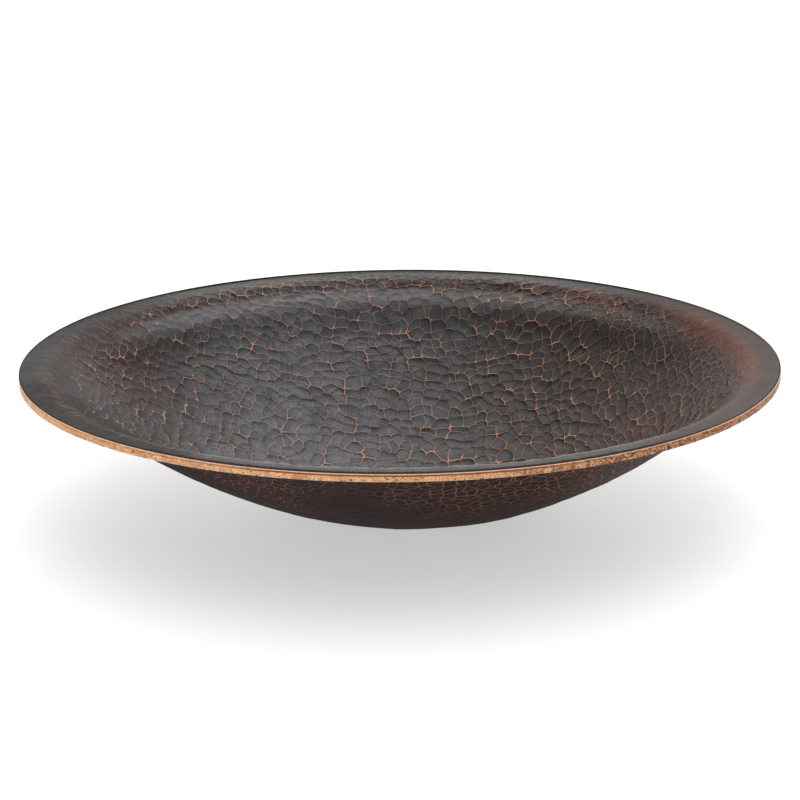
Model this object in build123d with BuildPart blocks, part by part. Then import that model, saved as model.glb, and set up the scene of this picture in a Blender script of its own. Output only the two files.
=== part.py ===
"""Oval hammered copper tray: a dish raised from one sheet, with a bar under its turned-out lip.

Frame: origin at the middle of the flat foot, on the surface that the tray stands on.
+X runs along the tray's length, +Y across its width and +Z up. Units are millimetres.
"""

import os
from math import cos, hypot, radians, sin, sqrt

from build123d import *

# Driving dimensions
length = 500.0  # over the lip, along X
width = 333.0  # over the lip, along Y
height = 102.0  # from the foot to the top of the lip
mouth_length = 464.6  # long axis of the bowl, where the wall's outside would reach the lip's top
foot_length = 80.0  # long axis of the flat foot
sheet = 1.6  # thickness of the copper sheet
bar_height = 4.3  # bar that stiffens the lip, after its outer side is ground flush
bar_width = 5.0
crease_radius = 8.5  # roll-over from the lip down into the bowl, on the inside
foot_radius = 60.0  # soft turn from the foot into the wall
foot_cut = 0.05  # ground off under the foot, to leave it truly flat
bead = 2.0  # leg of the brazed bead between the bar and the lip
joint_gap = 1.2  # gap between the bar's two ends, filled with braze
joint_angle = -47.3  # where that gap lies: the angle of its point in the oval's own parametric form

# Worked-out sizes
squeeze = width / length  # the oval is a round dish, narrowed along Y
rim_r = length / 2
mouth_r = mouth_length / 2
foot_r = foot_length / 2
lip_under = height - sheet
foot_blank = -foot_cut  # underside of the foot before it is ground
wall_rise = lip_under - foot_blank
bar_under = lip_under - bar_height
bar_inner_x = length / 2 - bar_width
bar_inner_y = width / 2 - bar_width

# The wall is a parabola in section: it rises by bowl * (r^2 - foot_r^2) from the foot's edge. The
# inside starts one sheet higher and gains more, so that the sheet keeps its thickness as it steepens.
bowl = height / (mouth_r**2 - foot_r**2)
steep_sheet = sheet * hypot(1, 2 * bowl * mouth_r)
bowl_inside = bowl + (steep_sheet - sheet) / (mouth_r**2 - foot_r**2)
under_corner_r = sqrt(foot_r**2 + wall_rise / bowl)
top_corner_r = sqrt(foot_r**2 + wall_rise / bowl_inside)


def wall_points(curvature: float, start_z: float, end_r: float) -> list[tuple[float, float]]:
    """Control points of the parabola that leaves the foot's edge and ends at end_r."""
    rise = curvature * (end_r**2 - foot_r**2)
    tangent_rise = curvature * foot_r * (end_r - foot_r)
    middle = ((foot_r + end_r) / 2, start_z + tangent_rise)
    return [(foot_r, start_z), middle, (end_r, start_z + rise)]


def circles_at(part: BuildPart, radius: float, z: float) -> ShapeList[Edge]:
    """The part's circular edges of this radius at this height."""
    circles = part.edges().filter_by(GeomType.CIRCLE).filter_by_position(Axis.Z, z - 0.01, z + 0.01)
    return circles.filter_by(lambda edge: abs(edge.radius - radius) < 0.01)


def finish(part: BuildPart, name: str) -> None:
    """Label a finished piece and write it as its own file."""
    part.part.label = name
    export_step(part.part, f"parts/{name}.step")


os.makedirs("parts", exist_ok=True)

# Dish: flat foot, parabolic wall and flat lip in one sheet, turned round and then narrowed to the oval
with BuildPart() as dish:
    with BuildSketch(Plane.XZ) as section:
        with BuildLine() as outline:
            under_foot = Line((0, foot_blank), (foot_r, foot_blank))
            under_wall = Bezier(*wall_points(bowl, foot_blank, under_corner_r))
            under_lip = Line(under_wall @ 1, (rim_r, lip_under))
            lip_edge = Line(under_lip @ 1, (rim_r, height))
            lip_top = Line(lip_edge @ 1, (top_corner_r, height))
            inner_wall = Bezier(*reversed(wall_points(bowl_inside, foot_blank + sheet, top_corner_r)))
            inner_foot = Line(inner_wall @ 1, (0, foot_blank + sheet))
            Line(inner_foot @ 1, under_foot @ 0)
        make_face()
    revolve(axis=Axis.Z)
    fillet(circles_at(dish, top_corner_r, height), radius=crease_radius)
    fillet(circles_at(dish, under_corner_r, lip_under), radius=crease_radius - sheet)
    fillet(circles_at(dish, foot_r, foot_blank), radius=foot_radius)
    fillet(circles_at(dish, foot_r, foot_blank + sheet), radius=foot_radius - sheet)
    scale(by=(1, squeeze, 1))
    split(bisect_by=Plane.XY, keep=Keep.TOP)
finish(dish, "dish")

# Plan of the bar, as if it were a whole ring, flush with the lip's edge
with BuildSketch(Plane.XY.offset(bar_under)) as bar_plan:
    Ellipse(length / 2, width / 2)
    Ellipse(bar_inner_x, bar_inner_y, mode=Mode.SUBTRACT)

# Plan of the gap between the bar's ends: a narrow strip square to the oval's edge
angle = radians(joint_angle)
edge_point = Vector(length / 2 * cos(angle), width / 2 * sin(angle), bar_under)
edge_normal = Vector(cos(angle) / length, sin(angle) / width)
with BuildSketch(Plane(origin=edge_point, x_dir=edge_normal, z_dir=(0, 0, 1))) as gap_plan:
    Rectangle(4 * bar_width, joint_gap)

# Rim bar: one length of bar bent on edge to the oval, its two ends not quite meeting
with BuildPart() as rim_bar:
    extrude(bar_plan.sketch, amount=bar_height)
    extrude(gap_plan.sketch, amount=bar_height, mode=Mode.SUBTRACT)
finish(rim_bar, "rim_bar")

# Braze that fills the gap, ground flush with the bar
with BuildPart() as bar_joint_braze:
    extrude(bar_plan.sketch, amount=bar_height)
    extrude(gap_plan.sketch, amount=bar_height, mode=Mode.INTERSECT)
finish(bar_joint_braze, "bar_joint_braze")

# Brazed bead in the corner between the bar's inner side and the underside of the lip
with BuildPart() as seam_braze:
    with BuildSketch(Plane.XZ) as bead_section:
        with BuildLine() as bead_outline:
            along_lip = Line((bar_inner_x - bead, lip_under), (bar_inner_x, lip_under))
            down_bar = Line(along_lip @ 1, (bar_inner_x, lip_under - bead))
            RadiusArc(down_bar @ 1, along_lip @ 0, -bead)
        make_face()
    revolve(axis=Axis.Z)
    scale(by=(1, bar_inner_y / bar_inner_x, 1))
finish(seam_braze, "seam_braze")
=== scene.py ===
"""Looks of the oval hammered copper tray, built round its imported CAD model.

The dish becomes one closed sheet, with real hammer marks on both sides and a dark, rubbed patina. The
bar under its lip is swept along the same oval. Lengths are in metres, in the frame of the row.
"""

import math

import bpy
import numpy as np
from mathutils import Matrix, Vector


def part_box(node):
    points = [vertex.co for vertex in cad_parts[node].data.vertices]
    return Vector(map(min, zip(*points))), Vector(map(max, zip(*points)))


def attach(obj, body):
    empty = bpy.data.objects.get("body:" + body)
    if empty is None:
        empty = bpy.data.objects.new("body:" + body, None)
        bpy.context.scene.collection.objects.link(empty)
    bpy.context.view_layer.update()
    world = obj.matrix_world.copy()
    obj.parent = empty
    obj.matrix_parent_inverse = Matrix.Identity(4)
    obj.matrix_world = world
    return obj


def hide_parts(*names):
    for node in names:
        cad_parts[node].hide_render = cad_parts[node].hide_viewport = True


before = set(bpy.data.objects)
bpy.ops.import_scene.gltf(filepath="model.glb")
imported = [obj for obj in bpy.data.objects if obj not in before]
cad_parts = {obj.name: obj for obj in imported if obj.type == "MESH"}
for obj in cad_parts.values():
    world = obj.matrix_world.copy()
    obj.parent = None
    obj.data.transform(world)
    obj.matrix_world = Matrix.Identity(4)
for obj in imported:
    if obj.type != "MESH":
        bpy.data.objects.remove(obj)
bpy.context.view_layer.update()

MM = 0.001
dish_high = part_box("dish")[1]
bar_low, bar_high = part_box("rim_bar")

# The oval, from the frame
half_length = dish_high.x
half_width = dish_high.y
squeeze = half_width / half_length
lip_top = dish_high.z
lip_under = bar_high.z
bar_under = bar_low.z
sheet = lip_top - lip_under

# Section of the dish along its long axis. The first two sizes are the CAD model's
mouth_r = 232.3 * MM  # where the wall would reach the lip's top
foot_r = 40.0 * MM
bowl = lip_top / (mouth_r**2 - foot_r**2)  # the wall rises by bowl * (r^2 - foot_r^2)
steepening = 0.6 * sheet  # the inside gains this much more, to keep the sheet's thickness
foot_blend = 14.0 * MM
crease_blend = 5.0 * MM
shoulder_r = 210.0 * MM  # a faint shoulder in the rear wall, just under the lip
shoulder_height = 3.8 * MM
shoulder_width = 10.0 * MM
lean = 8.5 * MM  # how far right of the lip's middle the bowl's foot sits

# The bar, as in the CAD model
bar_width = 5.0 * MM
joint_angle = math.radians(-47.3)
joint_gap = 1.2 * MM

# Hammer marks
cell = 7.2 * MM  # mean distance between blows near the lip
hammer_r = 30.0 * MM  # radius of the hammer's crowned face
crowding = 0.25  # power of the radius by which the blows crowd together towards the lip
scatter = 0.68  # how far blows stray from an even spacing
dent_rim = 4.0  # how much a dent steepens towards its rim
depth_spread = 0.22  # how much deeper some blows go
tilt_spread = 0.25  # how far some blows lean
mean_dent = 0.2 * MM
outside_marks = 0.22  # depth of the marks outside, against those inside
waves = 1.6 * MM  # broad unevenness of the sheet
ripples = 0.35 * MM

# Fineness of the dish's mesh: squares from its middle to the lip's edge band
rings = 210

# Lip edge
edge_band = 4.5 * MM  # outer part of the lip, made of plain rings
burr_height = 0.8 * MM
burr_place = 1.7 * MM  # in from the edge
burr_width = 0.7 * MM
corner_r = 0.6 * MM


class Graph:
    """Adds nodes to one node tree. A value is a number, a colour or another node's output."""

    def __init__(self, tree):
        self.tree = tree
        tree.nodes.clear()

    def add(self, kind, inputs, **settings):
        node = self.tree.nodes.new(kind)
        for name, value in settings.items():
            setattr(node, name, value)
        for key, value in inputs.items():
            self.feed(node.inputs[key], value)
        return node

    def feed(self, socket, value):
        if isinstance(value, bpy.types.NodeSocket):
            self.tree.links.new(value, socket)
        elif hasattr(socket.default_value, "__len__") and len(value) == 3 and len(socket.default_value) == 4:
            socket.default_value = (*value, 1.0)
        else:
            socket.default_value = value

    def math(self, operation, *values):
        return self.add("ShaderNodeMath", dict(enumerate(values)), operation=operation).outputs[0]

    def fold(self, operation, values):
        """One value from many, by a two-way operation from left to right."""
        total = values[0]
        for value in values[1:]:
            total = self.math(operation, total, value)
        return total

    def times(self, *values):
        return self.fold("MULTIPLY", values)

    def total(self, *values):
        return self.fold("ADD", values)

    def largest(self, *values):
        return self.fold("MAXIMUM", values)

    def vector(self, operation, *values):
        return self.add("ShaderNodeVectorMath", dict(enumerate(values)), operation=operation).outputs[0]

    def dot(self, a, b):
        return self.add("ShaderNodeVectorMath", {0: a, 1: b}, operation="DOT_PRODUCT").outputs["Value"]

    def scale(self, vector, factor):
        inputs = {"Vector": vector, "Scale": factor}
        return self.add("ShaderNodeVectorMath", inputs, operation="SCALE").outputs[0]

    def choose(self, second, a, b):
        """The vector a, or b where second is 1."""
        return self.add("ShaderNodeMix", {0: second, 4: a, 5: b}, data_type="VECTOR").outputs[1]

    def blend(self, factor, a, b):
        """A number between a and b."""
        return self.add("ShaderNodeMix", {0: factor, 2: a, 3: b}).outputs[0]

    def mix(self, factor, a, b):
        """A colour between a and b."""
        return self.add("ShaderNodeMix", {0: factor, 6: a, 7: b}, data_type="RGBA").outputs[2]

    def step(self, value, low, high, start=0.0, end=1.0):
        """Runs smoothly from start, where value is low, to end, where it is high."""
        inputs = {"Value": value, "From Min": low, "From Max": high, "To Min": start, "To Max": end}
        return self.add("ShaderNodeMapRange", inputs, interpolation_type="SMOOTHSTEP").outputs[0]

    def band(self, value, low, full, fading, high):
        """1 where value is between full and fading, and 0 below low and above high."""
        return self.times(self.step(value, low, full), self.step(value, fading, high, 1.0, 0.0))

    def noise(self, vector, scale, detail=2.0, roughness=0.5, distortion=0.0, colour=False):
        inputs = {
            "Vector": vector, "Scale": scale, "Detail": detail,
            "Roughness": roughness, "Distortion": distortion,
        }
        return self.add("ShaderNodeTexNoise", inputs).outputs[1 if colour else 0]

    def drift(self, vector, scale, detail, size):
        """A vector that wanders about zero, by size along each axis."""
        centred = self.vector("SUBTRACT", self.noise(vector, scale, detail, colour=True), (0.5, 0.5, 0.5))
        return self.vector("MULTIPLY", centred, size)

    def split(self, vector):
        return self.add("ShaderNodeSeparateXYZ", {0: vector}).outputs

    def attribute(self, name, output="Fac"):
        return self.add("ShaderNodeAttribute", {}, attribute_name=name).outputs[output]

    def place(self):
        return self.add("ShaderNodeTexCoord", {}).outputs["Object"]

    def bump(self, relief, strength, distance):
        inputs = {"Strength": strength, "Distance": distance, "Height": relief}
        return self.add("ShaderNodeBump", inputs).outputs[0]


def new_material(name):
    """An empty node material, with its graph."""
    material = bpy.data.materials.new(name)
    material.use_nodes = True
    return material, Graph(material.node_tree)


def surface(graph, **inputs):
    """Ends a material's graph in one Principled shader."""
    named_inputs = {key.replace("_", " "): value for key, value in inputs.items()}
    shader = graph.add("ShaderNodeBsdfPrincipled", named_inputs)
    graph.add("ShaderNodeOutputMaterial", {"Surface": shader.outputs[0]})


# ---------------------------------------------------------------- hammer marks, for mesh and material

def hammered(graph, hammer):
    """The struck surface at a place measured in blows: its height, how far a ridge is, and whose blow it is.

    Every blow leaves a round dent that steepens towards its rim. The blows run towards the near left,
    so that where two dents meet the later one keeps its far, right rim whole. The third value is the
    place of the blow itself, so it is the same all over a dent.
    """
    corner = graph.vector("FLOOR", hammer)
    back_to_corner = graph.vector("SUBTRACT", corner, hammer)
    usual_order = (0.27 - tilt_spread / 2, 0.55 - tilt_spread / 2, 0.0)
    order = graph.vector("ADD", graph.drift(hammer, 0.3, 1.0, (0.5, 0.3, 0.0)), usual_order)
    lowest, second = 9.0, 9.0  # more than any dent's height
    nearest, next_nearest = (0.0, 0.0, 0.0), (0.0, 0.0, 0.0)
    for i in (-1, 0, 1):
        for j in (-1, 0, 1):
            seed = graph.vector("ADD", corner, (i, j, 0.0))
            white = graph.add("ShaderNodeTexWhiteNoise", {"Vector": seed}, noise_dimensions="2D")
            chance = white.outputs["Color"]
            start = (i + 0.5 - scatter / 2, j + 0.5 - scatter / 2, 0.0)
            start = graph.vector("ADD", back_to_corner, start)
            to_blow = graph.vector("MULTIPLY_ADD", chance, (scatter, scatter, 0.0), start)
            squared = graph.dot(to_blow, to_blow)
            dent = graph.math("MULTIPLY_ADD", graph.math("POWER", squared, 4.0), dent_rim, squared)
            depth = graph.dot(chance, (0.0, 0.0, depth_spread))
            lean_way = graph.vector("MULTIPLY_ADD", chance, (tilt_spread, tilt_spread, 0.0), order)
            dent = graph.math("ADD", dent, graph.math("ADD", depth, graph.dot(to_blow, lean_way)))
            is_lowest = graph.math("LESS_THAN", dent, lowest)
            is_second = graph.math("LESS_THAN", dent, second)
            next_nearest = graph.choose(is_second, next_nearest, to_blow)
            next_nearest = graph.choose(is_lowest, next_nearest, nearest)
            nearest = graph.choose(is_lowest, nearest, to_blow)
            second = graph.math("MINIMUM", second, graph.math("MAXIMUM", lowest, dent))
            lowest = graph.math("MINIMUM", lowest, dent)

    # The ridge is as far away as the gap between the two dents over how fast they part. A dent of
    # s + dent_rim * s^4, where s is the squared distance, slopes by 2 + 8 * dent_rim * s^3 times it
    slopes = []
    for to_blow in (nearest, next_nearest):
        cubed = graph.math("POWER", graph.dot(to_blow, to_blow), 3.0)
        slopes.append(graph.scale(to_blow, graph.math("MULTIPLY_ADD", cubed, 8.0 * dent_rim, 2.0)))
    parting = graph.vector("SUBTRACT", slopes[0], slopes[1])
    parting = graph.math("MAXIMUM", graph.math("SQRT", graph.dot(parting, parting)), 0.5)
    to_ridge = graph.math("DIVIDE", graph.math("SUBTRACT", second, lowest), parting)
    return lowest, to_ridge, graph.vector("ADD", hammer, nearest)


def struck(graph, height):
    """The height of the struck surface, with its highest points beaten down."""
    root = graph.math("SQRT", graph.math("MULTIPLY_ADD", height, height, 1.0))
    return graph.math("DIVIDE", height, root)


# ---------------------------------------------------------------- geometry

def smooth_step(value, low, high):
    """0 below low, 1 above high, smooth between them."""
    t = np.clip((value - low) / (high - low), 0, 1)
    return t * t * (3 - 2 * t)


def bell(value, middle, width):
    """1 at the middle, falling to nothing on both sides."""
    return np.exp(-(((value - middle) / width) ** 2))


def inside_height(r):
    """Height of the dish's inside over its plan radius, measured along the long axis."""
    inside_bowl = (lip_top + steepening) / (mouth_r**2 - foot_r**2)
    return rolled(sheet + inside_bowl * soft_rise(r), lip_top)


def outside_height(r):
    """Height of the dish's outside, one sheet below its inside."""
    return rolled(bowl * soft_rise(r), lip_under)


def soft_rise(r):
    """r^2 - foot_r^2 past the foot and 0 on it, with a soft turn between them."""
    rise = r**2 - foot_r**2
    turn = 2 * foot_r * foot_blend
    return (rise + np.sqrt(rise**2 + turn**2)) / 2 - (np.sqrt(foot_r**4 + turn**2) - foot_r**2) / 2


def rolled(wall, lip):
    """The wall's height, rolled over into a lip that reaches this height at its outer edge."""
    edge_rise = bowl * (half_length**2 - mouth_r**2)
    level = lip + crease_blend**2 / (4 * edge_rise)
    return (wall + level - np.sqrt((wall - level) ** 2 + crease_blend**2)) / 2


def disk_grid(n):
    """A grid of squares laid on the unit disk: radius and angle of its points, faces and outer loop."""
    across = np.linspace(-1, 1, 2 * n + 1)
    a, b = np.meshgrid(across, across)
    wide = np.abs(a) > np.abs(b)
    safe_a = np.where(a == 0, 1, a)
    safe_b = np.where(b == 0, 1, b)
    radius = np.where(wide, a, b)
    angle = np.where(wide, math.pi / 4 * b / safe_a, math.pi / 2 - math.pi / 4 * a / safe_b)
    x = radius * np.cos(angle)
    y = radius * np.sin(angle)
    index = np.arange(a.size).reshape(a.shape)
    faces = np.stack([index[:-1, :-1], index[:-1, 1:], index[1:, 1:], index[1:, :-1]], -1).reshape(-1, 4)
    loop = np.concatenate([index[0, :-1], index[:-1, -1], index[-1, :0:-1], index[:0:-1, 0]])
    return np.hypot(x, y).ravel(), np.arctan2(y, x).ravel(), faces, loop


def dish_side(height, radius, angle):
    """Points of one side of the dish, up to its edge band, spaced evenly along the section."""
    end_r = half_length - edge_band - 2.5 * MM
    samples = np.linspace(0, end_r, 4000)
    run = np.hypot(np.diff(samples), np.diff(height(samples)))
    along = np.concatenate([[0], np.cumsum(run)])
    r = np.interp(radius * along[-1], along, samples)
    return np.stack([r * np.cos(angle), squeeze * r * np.sin(angle), height(r)], -1)


def edge_section():
    """Section of the lip's outer edge, from the top down, and the row where the ground face starts.

    Each row is a pair: its distance in from the edge, and its height.
    """
    top = [(d, 0.0) for d in np.arange(edge_band, corner_r, -0.3 * MM)]
    corner = [(corner_r * (1 - math.sin(t)), corner_r * (math.cos(t) - 1))
              for t in np.linspace(0, math.pi / 2, 5)]
    side = [(0.0, -depth) for depth in np.arange(corner_r + 0.1 * MM, sheet, 0.15 * MM)]
    under = [(0.06 * MM, -sheet), (0.5 * edge_band, -sheet), (edge_band, -sheet)]
    ground_row = len(top) + len(corner) - 2
    return np.array(top + corner + side + under) + (0, lip_top), ground_row


def make_mesh(name, points, faces):
    """A smooth mesh object from arrays; faces is a list of equal-sided face arrays."""
    mesh = bpy.data.meshes.new(name)
    mesh.from_pydata(points.tolist(), [], [f for group in faces for f in group.tolist()])
    mesh.polygons.foreach_set("use_smooth", np.full(len(mesh.polygons), True))
    mesh.update()
    piece = bpy.data.objects.new(name, mesh)
    bpy.context.scene.collection.objects.link(piece)
    return piece


def store(mesh, name, values):
    """Writes a float or vector attribute on a mesh's points."""
    kind, field = ("FLOAT", "value") if values.ndim == 1 else ("FLOAT_VECTOR", "vector")
    layer = mesh.attributes.new(name, kind, "POINT")
    layer.data.foreach_set(field, values.astype(np.float32).ravel())


def take(mesh, name):
    """Reads a float attribute of a mesh's points, and removes it."""
    layer = mesh.attributes[name]
    values = np.zeros(len(mesh.vertices), np.float32)
    layer.data.foreach_get("value", values)
    mesh.attributes.remove(layer)
    return values


def evaluate_fields(piece, fields):
    """Works out texture fields on a piece's points: fields(graph) gives {attribute: output}."""
    tree = bpy.data.node_groups.new("fields", "GeometryNodeTree")
    tree.interface.new_socket("Geometry", in_out="INPUT", socket_type="NodeSocketGeometry")
    tree.interface.new_socket("Geometry", in_out="OUTPUT", socket_type="NodeSocketGeometry")
    graph = Graph(tree)
    geometry = graph.add("NodeGroupInput", {}).outputs[0]
    for name, value in fields(graph).items():
        kind = "FLOAT_VECTOR" if value.type in ("VECTOR", "RGBA") else "FLOAT"
        stored = graph.add("GeometryNodeStoreNamedAttribute", {}, data_type=kind, domain="POINT")
        graph.feed(stored.inputs["Geometry"], geometry)
        graph.feed(stored.inputs["Name"], name)
        graph.feed(stored.inputs["Value"], value)
        geometry = stored.outputs[0]
    graph.add("NodeGroupOutput", {0: geometry})
    modifier = piece.modifiers.new("fields", "NODES")
    modifier.node_group = tree
    bpy.context.view_layer.update()
    evaluated = piece.evaluated_get(bpy.context.evaluated_depsgraph_get())
    mesh = bpy.data.meshes.new_from_object(evaluated)
    piece.modifiers.remove(modifier)
    old = piece.data
    piece.data = mesh
    bpy.data.meshes.remove(old)


def shift_along_normals(mesh, distance):
    """Moves each point along its normal."""
    normals = np.zeros(len(mesh.vertices) * 3, np.float32)
    points = np.zeros(len(mesh.vertices) * 3, np.float32)
    mesh.vertex_normals.foreach_get("vector", normals)
    mesh.vertices.foreach_get("co", points)
    moved = points.reshape(-1, 3) + normals.reshape(-1, 3) * distance[:, None]
    mesh.vertices.foreach_set("co", moved.astype(np.float32).ravel())
    mesh.update()


def plain_sheet():
    """The whole dish before the hammer, as one closed sheet: inside, lip edge and outside.

    Gives its points and faces, and for each point its plan radius in the CAD model, whether it is
    outside, and whether it is on the ground edge.
    """
    radius, angle, disk_faces, loop = disk_grid(rings)
    inside = dish_side(inside_height, radius, angle)
    outside = dish_side(outside_height, radius, angle)
    section, ground_row = edge_section()
    around = angle[loop]
    count = len(loop)
    edge = np.concatenate([
        np.stack([(half_length - d) * np.cos(around), (half_width - d) * np.sin(around),
                  np.full(count, z)], -1)
        for d, z in section
    ])

    # A burr along the lip's top, strongest at the rear
    burr = burr_height * bell(np.repeat(section[:, 0], count), burr_place, burr_width)
    to_rear = 0.15 + 0.85 * smooth_step(edge[:, 1], 0, 90 * MM)
    edge[:, 2] += burr * (edge[:, 2] > lip_top - 0.5 * sheet) * to_rear

    points = np.concatenate([inside, edge, outside])
    first_outside = len(inside) + len(edge)
    loops = [loop] + [len(inside) + i * count + np.arange(count) for i in range(len(section))]
    loops.append(first_outside + loop)
    strips = [
        np.stack([upper, lower, np.roll(lower, -1), np.roll(upper, -1)], -1)
        for upper, lower in zip(loops[:-1], loops[1:])
    ]
    faces = [disk_faces, disk_faces[:, ::-1] + first_outside] + strips

    # The shoulder in the rear wall, and the bowl's lean under its lip
    r = np.hypot(points[:, 0], points[:, 1] / squeeze)
    bulge = shoulder_height * bell(r, shoulder_r, shoulder_width)
    points[:, 2] += bulge * smooth_step(points[:, 1], 30 * MM, 110 * MM) * (r < mouth_r)
    points[:, 0] += lean * (1 - np.clip(points[:, 2] / lip_top, 0, 1))

    below = np.arange(len(points)) >= first_outside
    ground = np.zeros(len(points))
    ground[len(inside) + ground_row * count:first_outside] = 1.0
    return points, faces, r, below, ground


def in_blows(x, y, below):
    """Points laid out flat from the sloping wall, and counted in blows."""
    slope_x = 2 * bowl * x
    slope_y = 2 * bowl * y / squeeze**2
    laid_out = np.stack([x * (1 + slope_x**2 / 6), y * (1 + slope_y**2 / 6), 0 * x], -1) / cell
    ring = np.sqrt((x / half_length) ** 2 + (y / half_width) ** 2 + 0.4**2)
    laid_out *= ring[:, None] ** crowding
    laid_out[below] += (57.3, 31.7, 0)  # so that the outside has blows of its own
    return laid_out


def bent(graph, place):
    """A place measured in blows, moved a little, so that the rows of blows wander."""
    moved = graph.vector("ADD", place, graph.drift(place, 0.45, 1.0, (0.9, 0.9, 0.0)))
    moved = graph.vector("ADD", moved, graph.drift(place, 0.14, 0.0, (1.7, 1.7, 0.0)))
    return graph.vector("ADD", moved, graph.drift(place, 1.5, 0.0, (0.16, 0.16, 0.0)))


def build_dish():
    """The hammered dish, with the attributes that its patina reads.

    The mesh's blows are bent once more than the places stored for the patina, so the ridges that the
    patina draws lie about 2 mm beside the mesh's own.
    """
    points, faces, r, below, ground = plain_sheet()
    dish = make_mesh("hammered_dish", points, faces)
    x, y = points[:, 0], points[:, 1]
    store(dish.data, "plain", in_blows(x, y, below))

    def fields(graph):
        read = {"Name": "plain"}
        plain = graph.add("GeometryNodeInputNamedAttribute", read, data_type="FLOAT_VECTOR").outputs[0]
        hammer = bent(graph, plain)
        return {
            "hammer": hammer,
            "blow": struck(graph, hammered(graph, bent(graph, hammer))[0]),
            "wave": graph.noise(hammer, 0.16, 2.0),
            "ripple": graph.noise(hammer, 0.9, 2.0),
        }

    evaluate_fields(dish, fields)
    mesh = dish.data
    mesh.attributes.remove(mesh.attributes["plain"])

    # The marks fade on the roll-over into the lip: lower down at the ends, above all at the near left
    end = smooth_step(np.abs(x), 120 * MM, 215 * MM)
    kept = end * np.maximum(smooth_step(x, 0, 100 * MM), smooth_step(y, -10 * MM, 50 * MM))
    fade_start = mouth_r - (3 + 33 * end - 16.9 * kept) * MM
    fade_end = mouth_r + (7 - 13 * end + 7.8 * kept) * MM
    marks = 1 - smooth_step(r, fade_start, fade_end)

    # The dents are shallow outside. Inside they get shallower towards both ends, above all near left
    dents = marks * (take(mesh, "blow") * cell**2 / (2 * hammer_r) - mean_dent)
    near_left = smooth_step(-x, 90 * MM, 150 * MM) * smooth_step(-y, -20 * MM, 20 * MM)
    calm = np.maximum(0.4 * smooth_step(np.abs(x), 100 * MM, 180 * MM), 0.65 * near_left)
    dents *= np.where(below, outside_marks, 1 - calm)

    # Waves and ripples bend both faces of the sheet, but not its ground edge or the foot's underside
    loose = (1 - ground) * smooth_step(half_length - r, 1.0 * MM, 14 * MM)
    wave = (take(mesh, "wave") - 0.5) * waves * loose * np.where(below, -1.0, 1.0)
    ripple = (take(mesh, "ripple") - 0.5) * ripples * loose
    off_foot = smooth_step(r, 0.7 * foot_r, 1.5 * foot_r) * below + ~below
    shift_along_normals(mesh, (dents + ripple + wave) * off_foot)
    store(mesh, "marks", marks)
    store(mesh, "ground", ground)
    store(mesh, "inside", (~below).astype(float))
    store(mesh, "radius", r / half_length)
    return dish


def build_bar():
    """The bar under the lip, its ground outer face flush with the sheet's edge."""
    steps = 2400
    run = math.hypot(half_length * math.sin(joint_angle), half_width * math.cos(joint_angle))
    half_gap = joint_gap / 2 / run
    angle = np.linspace(joint_angle + half_gap, joint_angle + 2 * math.pi - half_gap, steps)
    sharp = 0.25 * MM
    corners = [(0, lip_under, sharp), (0, bar_under, sharp),
               (bar_width, bar_under, 0.5 * MM), (bar_width, lip_under, sharp)]
    d, z = rounded_section(corners, 0.45 * MM).T
    points = np.stack([
        (half_length - d[None]) * np.cos(angle[:, None]),
        (half_width - d[None]) * np.sin(angle[:, None]),
        np.broadcast_to(z, (steps, len(z))),
    ], -1)
    index = np.arange(points.shape[0] * points.shape[1]).reshape(points.shape[:2])
    around = np.roll(index, -1, axis=1)
    faces = np.stack([index[:-1], index[1:], around[1:], around[:-1]], -1).reshape(-1, 4)
    bar = make_mesh("ground_bar", points.reshape(-1, 3), [faces, index[:1], index[-1:, ::-1]])

    def fields(graph):
        place = graph.add("GeometryNodeInputPosition", {}).outputs[0]
        return {
            "wave": graph.noise(place, 45.0, 2.0),
            "grain": graph.noise(place, 420.0, 2.0),
        }

    evaluate_fields(bar, fields)
    wave = (take(bar.data, "wave") - 0.5) * 0.3 * MM
    grain = (take(bar.data, "grain") - 0.5) * 0.14 * MM
    shift_along_normals(bar.data, np.minimum(wave + grain, 0.05 * MM))
    return bar


def rounded_section(corners, spacing):
    """A closed section through corners (across, up, radius), with round corners and even points."""
    outline = []
    for i, (across, up, radius) in enumerate(corners):
        here = np.array((across, up))
        following = np.array(corners[(i + 1) % len(corners)][:2])
        to_last = np.array(corners[i - 1][:2]) - here
        to_next = following - here
        start = here + to_last / np.linalg.norm(to_last) * radius
        end = here + to_next / np.linalg.norm(to_next) * radius
        outline += [start * (1 - t) ** 2 + here * 2 * t * (1 - t) + end * t**2 for t in np.linspace(0, 1, 4)]
        gap = following - end
        inner = max(int(np.linalg.norm(gap) / spacing) - 1, 1)
        outline += [end + gap * k / (inner + 1) for k in range(1, inner)]
    return np.array(outline)


# ---------------------------------------------------------------- materials

# Colours of the patina, in linear light
charcoal = (0.195, 0.199, 0.222)
brown = (0.072, 0.060, 0.053)
brick = (0.110, 0.045, 0.036)
blow_shade = (0.020, 0.018, 0.019)
left_brown = (0.030, 0.020, 0.019)
right_brown = (0.022, 0.018, 0.017)
patch_red = (0.060, 0.018, 0.016)
soot = (0.016, 0.013, 0.012)
mottle_grey = (0.045, 0.040, 0.038)
speck_black = (0.015, 0.014, 0.015)
ridge_shade = (0.012, 0.010, 0.010)
sheen_grey = (0.19, 0.19, 0.20)
shade_brown = (0.018, 0.015, 0.014)
lip_dark = (0.009, 0.009, 0.008)
lip_grey = (0.052, 0.046, 0.040)
lip_brown = (0.072, 0.046, 0.038)
lip_shadow_brown = (0.016, 0.011, 0.010)
crease_red = (0.15, 0.055, 0.038)
crease_copper = (0.28, 0.12, 0.07)
rubbed_copper = (0.24, 0.13, 0.09)
corner_shade_black = (0.010, 0.012, 0.014)
outside_dark = (0.003, 0.0009, 0.0006)
outside_brown = (0.029, 0.0088, 0.0048)
ridge_grey = (0.36, 0.27, 0.235)
ridge_brown = (0.29, 0.14, 0.10)
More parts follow.
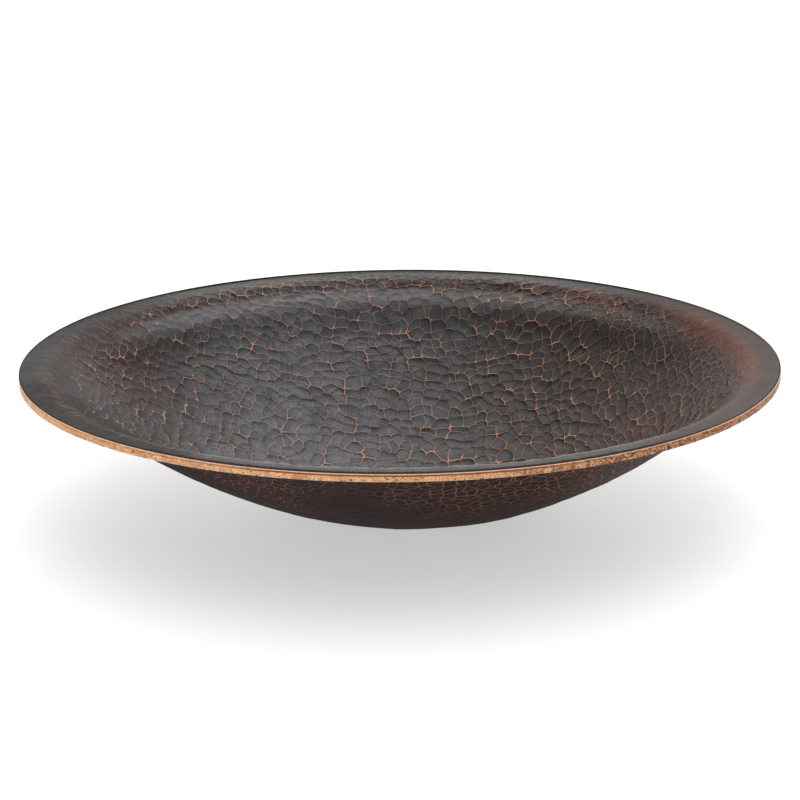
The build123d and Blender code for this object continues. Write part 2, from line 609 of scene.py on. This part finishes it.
ridge_dark = (0.085, 0.055, 0.048)
ridge_copper = (0.80, 0.35, 0.20)
ridge_outside = (0.42, 0.17, 0.10)
edge_highlight = (0.86, 0.57, 0.42)

# Colours of the ground copper
fresh_copper = (0.92, 0.52, 0.27)
stained_copper = (0.76, 0.39, 0.19)
scratched_copper = (0.95, 0.62, 0.40)
browner_copper = (0.54, 0.255, 0.135)
brownest_copper = (0.34, 0.145, 0.085)
worm_brown = (0.125, 0.045, 0.026)
speckle_brown = (0.33, 0.14, 0.06)
pit_black = (0.05, 0.018, 0.011)
seam_brown = (0.23, 0.085, 0.033)
low_brown = (0.10, 0.045, 0.028)


def patina():
    """Dark patina on hammered copper, rubbed back to copper along the marks' ridges."""
    material, g = new_material("patinated_copper")
    hammer = g.attribute("hammer", "Vector")
    marks = g.attribute("marks")
    ground = g.attribute("ground")
    inside = g.attribute("inside")
    radius = g.attribute("radius")
    place = g.place()
    x, y, z = g.split(place)

    # Parts of the dish that look different
    lip = g.math("SUBTRACT", 1.0, marks)
    right = g.step(x, -60 * MM, 130 * MM)
    rear = g.step(y, 60 * MM, 110 * MM)
    near_left = g.times(g.step(x, -100 * MM, -150 * MM), g.step(y, 10 * MM, -30 * MM))
    far = g.math("ABSOLUTE", g.math("ADD", x, 10 * MM))
    broad = g.noise(place, 9.0, 3.0, 0.55)

    # Ridges between blows. A ridge stands highest where the blows are furthest away
    height, to_ridge, blow_place = hammered(g, hammer)
    reach = g.math("SQRT", g.math("MAXIMUM", height, 0.0))
    fray = g.noise(hammer, 5.0, 2.0)
    line_width = 0.068
    to_line = g.math("ADD", to_ridge, g.math("MULTIPLY", g.math("SUBTRACT", fray, 0.5), 0.06))
    line = g.step(to_line, 0.1 * line_width, line_width, 1.0, 0.0)
    faint = g.step(g.noise(hammer, 0.45, 3.0), 0.38, 0.58, 0.45, 1.0)
    shown = g.times(line, marks, faint)

    # Where the ridges are high, they are rubbed bright
    wander = g.noise(hammer, 0.45, 3.0, 0.6)
    lifted = g.math("ADD", reach, g.math("MULTIPLY", g.math("SUBTRACT", wander, 0.5), 0.95))
    at_shoulder = g.times(rear, g.step(radius, 0.845, 0.87))
    lifted = g.math("MULTIPLY_ADD", at_shoulder, 0.1, lifted)
    high = g.step(lifted, 0.74, 1.14)

    # Broad colour: bluish charcoal at the left, brown at the right, redder and darker near both ends
    body = g.mix(right, charcoal, brown)
    off_lip = g.step(radius, 0.90, 0.98, 1.0, 0.0)
    red = g.times(g.step(far, 115 * MM, 175 * MM), g.step(broad, 0.40, 0.58), off_lip)
    body = g.mix(g.times(red, 0.8), body, brick)
    # Painted shade: some blows are darker, standing in for facets turned away from the light
    tone = g.noise(blow_place, 1.7, 0.0)
    body = g.mix(g.step(tone, 0.3, 0.7, 0.0, 0.34), body, blow_shade)
    body = g.mix(g.step(x, -90 * MM, -170 * MM, 0.0, 0.72), body, left_brown)
    body = g.mix(g.step(x, 120 * MM, 200 * MM, 0.0, 0.5), body, right_brown)

    # A dark red patch on the left wall, and dark charcoal in front of it
    from_patch = g.vector("SUBTRACT", place, (-188 * MM, 46 * MM, 75 * MM))
    from_patch = g.math("SQRT", g.dot(from_patch, from_patch))
    from_patch = g.math("ADD", from_patch, g.times(broad, 30 * MM))
    body = g.mix(g.step(from_patch, 30 * MM, 62 * MM, 0.9, 0.0), body, patch_red)
    body = g.mix(g.times(near_left, 0.75), body, soot)

    # Fine mottling, and darker places high up between the blows: painted shade beside the ridges
    mottled = g.mix(0.6, body, mottle_grey)
    blotches = g.step(g.noise(place, 420.0, 4.0, 0.8), 0.35, 0.7, 0.0, 0.9)
    specks = g.step(g.noise(place, 1300.0, 2.0, 0.6), 0.4, 0.65, 0.0, 0.3)
    mottled = g.mix(specks, g.mix(blotches, body, mottled), speck_black)
    body = g.mix(g.step(reach, 0.3, 0.75), mottled, g.mix(0.3, mottled, ridge_shade))

    # Painted highlight: the shoulder at the back is painted lighter, with a painted shaded band over it
    shoulder_sheen = g.times(g.band(radius, 0.825, 0.85, 0.885, 0.90), rear, g.step(x, 70 * MM, 150 * MM, 1.0, 0.25))
    body = g.mix(g.times(shoulder_sheen, 0.5), body, sheen_grey)
    shaded = g.times(g.step(radius, 0.885, 0.90), rear)
    body = g.mix(g.times(shaded, 0.6), body, shade_brown)

    # The smooth lip: greyer, with fine streaks across it
    angle = g.math("ARCTAN2", g.math("DIVIDE", y, squeeze), x)
    round_lip = {0: g.times(angle, 60.0), 1: g.times(radius, 14.0), 2: 0.0}
    streak = g.noise(g.add("ShaderNodeCombineXYZ", round_lip).outputs[0], 2.0, 4.0, 0.6, 1.5)
    lip_colour = g.mix(g.step(streak, 0.35, 0.7), lip_dark, lip_grey)
    lip_colour = g.mix(g.step(x, 120 * MM, 210 * MM, 0.0, 0.8), lip_colour, lip_brown)
    body = g.mix(g.times(lip, g.step(radius, 0.88, 0.97)), body, lip_colour)

    # Painted shadow: the wall under the crease is dark at the right front, as in the lip's shadow
    lip_shadow = g.times(g.band(radius, 0.80, 0.85, 0.895, 0.915), g.step(x, 90 * MM, 150 * MM))
    lip_shadow = g.times(lip_shadow, g.step(y, 10 * MM, -40 * MM))
    body = g.mix(g.times(lip_shadow, 0.8), body, lip_shadow_brown)

    # The crease is smeared red at the right, and streaked and rubbed to copper
    crease = g.band(radius, 0.86, 0.905, 0.925, 0.965)
    smear = g.times(g.step(x, 80 * MM, 170 * MM), g.step(broad, 0.36, 0.52))
    smear = g.times(smear, g.step(y, -50 * MM, 0.0, 0.25, 1.0))
    body = g.mix(g.times(crease, smear, 0.7), body, crease_red)
    copper_streak = g.times(crease, g.step(streak, 0.52, 0.68))
    body = g.mix(g.times(copper_streak, 0.85), body, crease_copper)
    rub = g.times(g.band(radius, 0.915, 0.925, 0.935, 0.945), g.step(y, -90 * MM, -120 * MM))
    rub = g.times(rub, g.step(fray, 0.35, 0.6))
    body = g.mix(g.times(rub, 0.5), body, rubbed_copper)

    # Painted shade for the burr's dark reflection: nearly black round the lip's outer corner, narrower at
    # the ends
    ends = g.step(g.math("ABSOLUTE", x), 130 * MM, 215 * MM)
    corner_start = g.math("MULTIPLY_ADD", ends, 4.0 * MM / half_length, 1 - 5.5 * MM / half_length)
    corner_end = g.math("MULTIPLY_ADD", ends, 2.0 * MM / half_length, 1 - 2.6 * MM / half_length)
    corner = g.step(radius, corner_start, corner_end)
    corner_shade = g.times(corner, g.step(y, 0.0, 90 * MM, 0.35, 0.95))
    body = g.mix(corner_shade, body, corner_shade_black)

    # Outside, darker: its own patina, partly painted shade under the dish, in layers that run round the dish
    layers = g.noise(g.vector("MULTIPLY", place, (1.0, 1.0, 5.0)), 120.0, 4.0, 0.7)
    outside_patina_and_shade = g.mix(layers, outside_dark, outside_brown)
    body = g.mix(inside, g.mix(0.92, body, outside_patina_and_shade), body)

    # The ridges, over all of that
    ridge = g.mix(right, ridge_grey, ridge_brown)
    ridge = g.mix(g.step(x, -90 * MM, -160 * MM, 0.0, 0.65), ridge, ridge_dark)
    ridge = g.mix(g.times(high, g.step(x, 110 * MM, 200 * MM, 1.0, 0.4)), ridge, ridge_copper)
    ridge = g.mix(inside, ridge_outside, ridge)
    outside_share = g.times(g.step(radius, 0.50, 0.85, 0.12, 0.72), g.step(broad, 0.40, 0.60))
    body = g.mix(g.times(shown, g.blend(inside, outside_share, 0.98)), body, ridge)

    # The ground edge of the sheet, with a painted highlight along its top
    copper_and_highlight = ground_face(g, place)[0]
    copper_and_highlight = g.mix(g.step(z, lip_top - 0.9 * MM, lip_top - 0.65 * MM), copper_and_highlight, edge_highlight)
    colour = g.mix(ground, body, copper_and_highlight)
    metal = g.largest(g.times(shown, high, 0.3), g.times(ground, 0.75))

    # Duller on the lip's ends and front, at the near left, round the corner and outside
    dull = g.largest(
        g.times(lip, g.step(far, 110 * MM, 190 * MM, 0.0, 0.25)),
        g.times(lip, g.step(y, -70 * MM, -140 * MM, 0.0, 0.16)),
        g.times(near_left, 0.4),
        g.times(corner, 0.6),
        g.times(g.math("SUBTRACT", 1.0, inside), g.step(x, 60 * MM, 150 * MM, 0.7, 0.35)),
    )
    rough = g.total(0.26, g.times(g.noise(place, 70.0, 4.0, 0.6), 0.2))
    rough = g.total(rough, g.times(dull, g.math("SUBTRACT", 1.0, ground)))

    # Fine grain, ridges, streaks on the lip, and the crisp dents between those ridges
    depth = g.times(g.math("MULTIPLY_ADD", inside, 1.2, 0.1), g.step(far, 100 * MM, 180 * MM, 1.0, 0.5))
    relief = g.total(
        g.times(g.noise(place, 900.0, 3.0, 0.6), 0.28),
        g.times(line, marks, 0.10),
        g.times(streak, lip, g.step(far, 80 * MM, 180 * MM, 0.08, 0.3)),
        g.times(struck(g, height), marks, depth),
    )
    bump = g.bump(relief, 0.8, 1.0 * MM)
    surface(g, Normal=bump, Base_Color=colour, Metallic=metal, Roughness=rough, Specular_IOR_Level=0.28)
    return material


def ground_face(g, place):
    """Colour, stains and relief of copper ground by hand: pitted, and browner to the right.

    A dark line runs along the front, where the sheet's edge meets the bar.
    """
    x, y, z = g.split(place)
    stain = g.noise(place, 60.0, 4.0, 0.6)
    worms = g.noise(place, 330.0, 3.0, 0.6, 1.2)
    pits = g.noise(place, 640.0, 2.0, 0.5)
    scratch = g.noise(g.vector("MULTIPLY", place, (1.0, 1.0, 7.0)), 220.0, 3.0, 0.6)
    right = g.step(x, 10 * MM, 140 * MM)
    copper = g.mix(g.step(stain, 0.35, 0.7), fresh_copper, stained_copper)
    copper = g.mix(g.step(scratch, 0.45, 0.7, 0.0, 0.5), copper, scratched_copper)
    copper = g.mix(g.times(right, 0.5), copper, browner_copper)
    copper = g.mix(g.step(x, 130 * MM, 190 * MM, 0.0, 0.5), copper, brownest_copper)
    wormy = g.times(g.step(worms, 0.46, 0.56), g.math("MULTIPLY_ADD", right, 0.72, 0.2))
    copper = g.mix(wormy, copper, worm_brown)
    speckle = g.step(g.noise(place, 900.0, 2.0, 0.6), 0.4, 0.62, 0.0, 0.45)
    copper = g.mix(speckle, copper, speckle_brown)
    copper = g.mix(g.step(pits, 0.39, 0.31, 0.0, 0.9), copper, pit_black)

    # The seam wavers by up to half of this height
    waver = 0.8 * MM
    seam_z = lip_under - 0.05 * MM
    from_seam = g.math("MULTIPLY_ADD", g.math("SUBTRACT", stain, 0.5), waver, z)
    from_seam = g.math("ABSOLUTE", g.math("SUBTRACT", from_seam, seam_z))
    front = g.times(g.step(y, 0.0, -20 * MM), g.step(g.math("ABSOLUTE", x), 130 * MM, 70 * MM, 0.15, 0.9))
    seam = g.times(front, g.step(from_seam, 0.85 * MM, 0.4 * MM))
    copper = g.mix(seam, copper, seam_brown)
    relief = g.total(g.times(g.step(pits, 0.3, 0.4), 0.25), g.times(worms, 0.15))
    return copper, stain, relief


def ground_copper():
    """The bar's bright copper, darker along its lower edge."""
    material, g = new_material("ground_copper")
    place = g.place()
    z = g.split(place)[2]
    copper, stain, relief = ground_face(g, place)
    low = g.step(z, bar_under + 0.4 * MM, bar_under + 0.05 * MM, 0.0, 0.3)
    copper = g.mix(low, copper, low_brown)
    rough = g.step(stain, 0.3, 0.7, 0.38, 0.55)
    surface(g, Normal=g.bump(relief, 0.7, 1.0 * MM), Base_Color=copper, Metallic=0.7, Roughness=rough)
    return material


def braze(name, light, dark):
    """Filler metal, dull and uneven."""
    material, g = new_material(name)
    place = g.place()
    blotch = g.noise(place, 140.0, 4.0, 0.6)
    fine = g.noise(place, 700.0, 3.0, 0.6)
    colour = g.mix(g.step(blotch, 0.3, 0.7), dark, light)
    relief = g.total(g.times(blotch, 0.6), g.times(fine, 0.25))
    rough = g.step(fine, 0.2, 0.8, 0.4, 0.65)
    surface(g, Normal=g.bump(relief, 0.8, 0.6 * MM), Base_Color=colour, Metallic=0.5, Roughness=rough)
    return material


# ---------------------------------------------------------------- stage

def build_floor():
    """Plain pale floor that the tray stands on, 600 metres across."""
    size = 300.0  # from the middle to each side
    mesh = bpy.data.meshes.new("floor")
    corners = [(-size, -size, 0), (size, -size, 0), (size, size, 0), (-size, size, 0)]
    mesh.from_pydata(corners, [], [(0, 1, 2, 3)])
    floor = bpy.data.objects.new("floor", mesh)
    bpy.context.scene.collection.objects.link(floor)
    material, g = new_material("pale_floor")
    tone = g.mix(g.noise(g.place(), 1.5, 2.0), (0.69, 0.69, 0.69), (0.71, 0.71, 0.71))
    surface(g, Base_Color=tone, Roughness=0.9, Emission_Color=(1.0, 1.0, 1.0), Emission_Strength=0.5)
    floor.data.materials.append(material)


def build_light():
    """Soft light from all round: strongest from the back, a little way up, weakest from the sides.

    Where the camera sees past the floor, it is plain white.
    """
    world = bpy.data.worlds.new("studio")
    bpy.context.scene.world = world
    world.use_nodes = True
    g = Graph(world.node_tree)
    direction = g.add("ShaderNodeTexCoord", {}).outputs["Generated"]
    x, y, z = g.split(direction)
    brightest = math.radians(25)  # elevation of the brightest part
    back = g.math("ADD", g.times(y, math.cos(brightest)), g.times(z, math.sin(brightest)))
    aside = g.math("ABSOLUTE", g.math("SUBTRACT", x, 0.10))
    strength = g.times(g.step(back, -0.5, 0.9, 0.38, 1.95), g.step(aside, 0.1, 0.85, 1.15, 0.4))
    seen = g.add("ShaderNodeLightPath", {}).outputs["Is Camera Ray"]
    strength = g.blend(seen, strength, 1.0)
    background = g.add("ShaderNodeBackground", {"Color": (1.0, 1.0, 1.0), "Strength": strength})
    g.add("ShaderNodeOutputWorld", {0: background.outputs[0]})


def build_camera():
    """Three metres away, 23.7 degrees above the lip, turned half a degree on its axis."""
    elevation = math.radians(23.656)
    roll = math.radians(-0.54)
    distance = 3.0
    rim_centre = Vector((0, 0, lip_top))
    place = rim_centre + distance * Vector((0, -math.cos(elevation), math.sin(elevation)))
    aim = Vector((0.0, 0, 78.0 * MM))
    data = bpy.data.cameras.new("camera")
    data.lens = 205.6
    data.sensor_width = 36.0
    camera = bpy.data.objects.new("camera", data)
    bpy.context.scene.collection.objects.link(camera)
    turn = (aim - place).to_track_quat("-Z", "Y").to_matrix().to_4x4()
    camera.matrix_world = Matrix.Translation(place) @ turn @ Matrix.Rotation(roll, 4, "Z")
    bpy.context.scene.camera = camera


# ---------------------------------------------------------------- assembly

hammered_dish = build_dish()
hammered_dish.data.materials.clear()
hammered_dish.data.materials.append(patina())
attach(hammered_dish, "root")
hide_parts("dish")

ground_bar = build_bar()
ground_bar.data.materials.clear()
ground_bar.data.materials.append(ground_copper())
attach(ground_bar, "root")
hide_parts("rim_bar")

for node, light, dark in (
    ("bar_joint_braze", (0.10, 0.045, 0.028), (0.03, 0.014, 0.010)),
    ("seam_braze", (0.30, 0.19, 0.09), (0.07, 0.04, 0.025)),
):
    braze_material = braze(node, light, dark)
    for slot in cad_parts[node].material_slots:
        slot.material = braze_material

build_floor()
build_light()
build_camera()
bpy.context.scene.view_settings.view_transform = "Standard"
